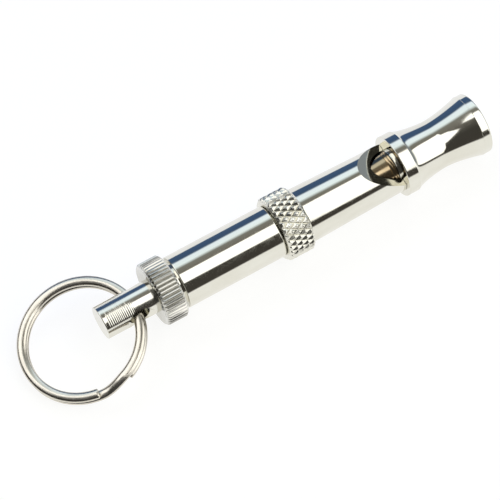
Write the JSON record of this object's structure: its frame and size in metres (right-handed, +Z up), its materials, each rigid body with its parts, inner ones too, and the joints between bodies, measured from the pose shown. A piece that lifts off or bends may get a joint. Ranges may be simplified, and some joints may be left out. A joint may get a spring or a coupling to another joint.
{
  "type": "adjustable training whistle",
  "caption": "Adjustable silent training whistle: slender metal tube with knurled grip ring, lock nut, waisted mouthpiece, screw plunger and a split ring through its stem.",
  "frame": {"origin": "on the surface the whistle lies on, under the middle of the object's box", "axes": "+X along the whistle's axis towards the lip, +Z up, +Y along the axis on which the split ring swings"},
  "size_m": [0.0832, 0.0208, 0.011],
  "materials": {
    "nickel_plate": "bright polished nickel plate on brass",
    "knurled_nickel": "bright nickel plate over a rolled knurl",
    "stem_nickel": "bright nickel plate over fine turning marks",
    "bare_brass": "bare turned brass, slightly dulled",
    "spring_steel": "nickel-plated flat spring wire, tumbled smooth",
    "seal_rubber": "matt black nitrile rubber"
  },
  "bodies": {
    "whistle_body": {"mouthpiece": "nickel_plate", "windway_plug": "bare_brass", "barrel": "nickel_plate", "grip_ring": "knurled_nickel", "rear_sleeve": "nickel_plate"},
    "lock_nut": {"lock_nut": "knurled_nickel"},
    "piston": {"piston": "bare_brass", "piston_seal": "seal_rubber"},
    "plunger": {"plunger_rod": "stem_nickel"},
    "split_ring": {"split_ring": "spring_steel"}
  },
  "joints": [
    {"name": "plunger_travel", "type": "slide", "parent": "whistle_body", "child": "piston", "axis": [-1, 0, 0], "range_m": [0, 0.01401]},
    {"name": "plunger_turn", "type": "hinge", "parent": "piston", "child": "plunger", "pos_m": [-0.02217, 0, 0.00548], "axis": [-1, 0, 0], "range_deg": [0, 7200]},
    {"name": "lock_nut_turn", "type": "hinge", "parent": "whistle_body", "child": "lock_nut", "pos_m": [-0.01677, 0, 0.00548], "axis": [-1, 0, 0], "range_deg": [0, 360]},
    {"name": "ring_swing", "type": "hinge", "parent": "plunger", "child": "split_ring", "pos_m": [-0.02217, 0, 0.00548], "axis": [0, 1, 0], "range_deg": [-144, 170]}
  ],
  "couplings": [
    {"joint": "plunger_travel", "follows": "plunger_turn", "m_per_rad": 0.00011141}
  ]
}
